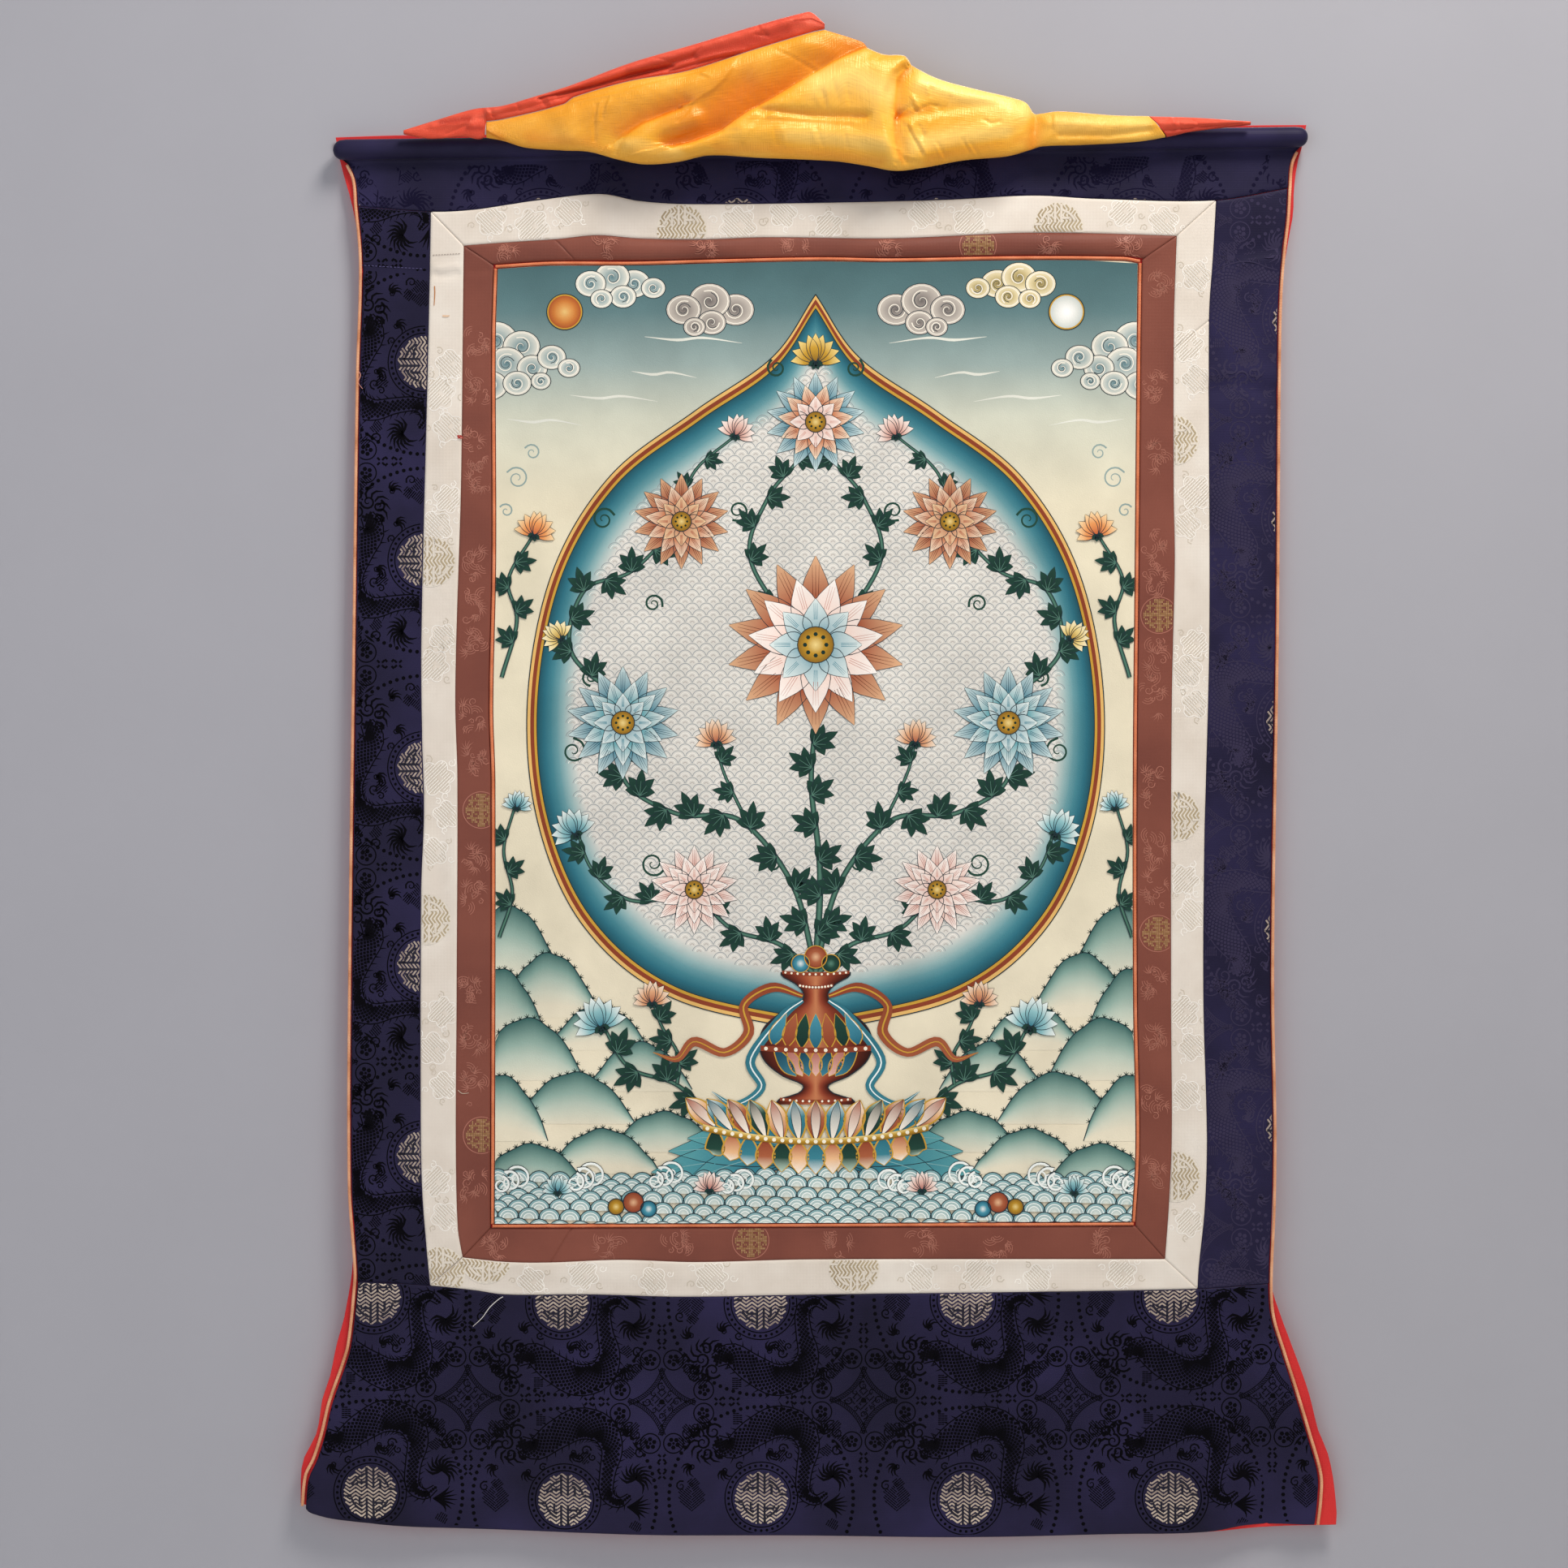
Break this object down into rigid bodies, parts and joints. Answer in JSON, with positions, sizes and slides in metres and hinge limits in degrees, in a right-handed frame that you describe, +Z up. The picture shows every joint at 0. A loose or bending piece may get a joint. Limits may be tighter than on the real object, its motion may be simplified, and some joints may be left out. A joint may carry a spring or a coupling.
{
  "type": "thangka scroll painting",
  "caption": "Hung scroll painting: painted canvas in mitred brocade borders on a navy damask mounting with a flared foot, its silk veil gathered up over the top edge.",
  "frame": {"origin": "on the wall plane, at the middle of the sleeve's top edge, where the hanging is held up", "axes": "+Z up, -Y out of the wall towards the viewer, +X to the viewer's right"},
  "size_m": [0.9571, 0.0519, 1.4021],
  "materials": {
    "navy_damask": "silk damask, tone on tone, soft sheen",
    "cream_brocade": "silk brocade, pale figure on cream twill",
    "brown_brocade": "silk brocade, copper figure on rust brown",
    "painted_canvas": "mineral colours on primed cotton, matte",
    "orange_piping": "silk over cord",
    "red_lining": "plain cotton",
    "yellow_silk": "plain-weave silk, soft lustre",
    "coral_silk": "plain-weave silk, soft lustre"
  },
  "bodies": {
    "root": {"navy_top": "navy_damask", "navy_left": "navy_damask", "navy_right": "navy_damask", "navy_bottom": "navy_damask", "cream_top": "cream_brocade", "cream_left": "cream_brocade", "cream_right": "cream_brocade", "cream_bottom": "cream_brocade", "brown_top": "brown_brocade", "brown_left": "brown_brocade", "brown_right": "brown_brocade", "brown_bottom": "brown_brocade", "painting": "painted_canvas", "piping_top": "orange_piping", "piping_bottom": "orange_piping", "piping_left": "orange_piping", "piping_right": "orange_piping", "edge_piping_left": "orange_piping", "edge_piping_right": "orange_piping", "lining_back": "red_lining", "veil_yellow": "yellow_silk", "veil_coral_left": "coral_silk", "veil_coral_right": "coral_silk"}
  },
  "joints": []
}
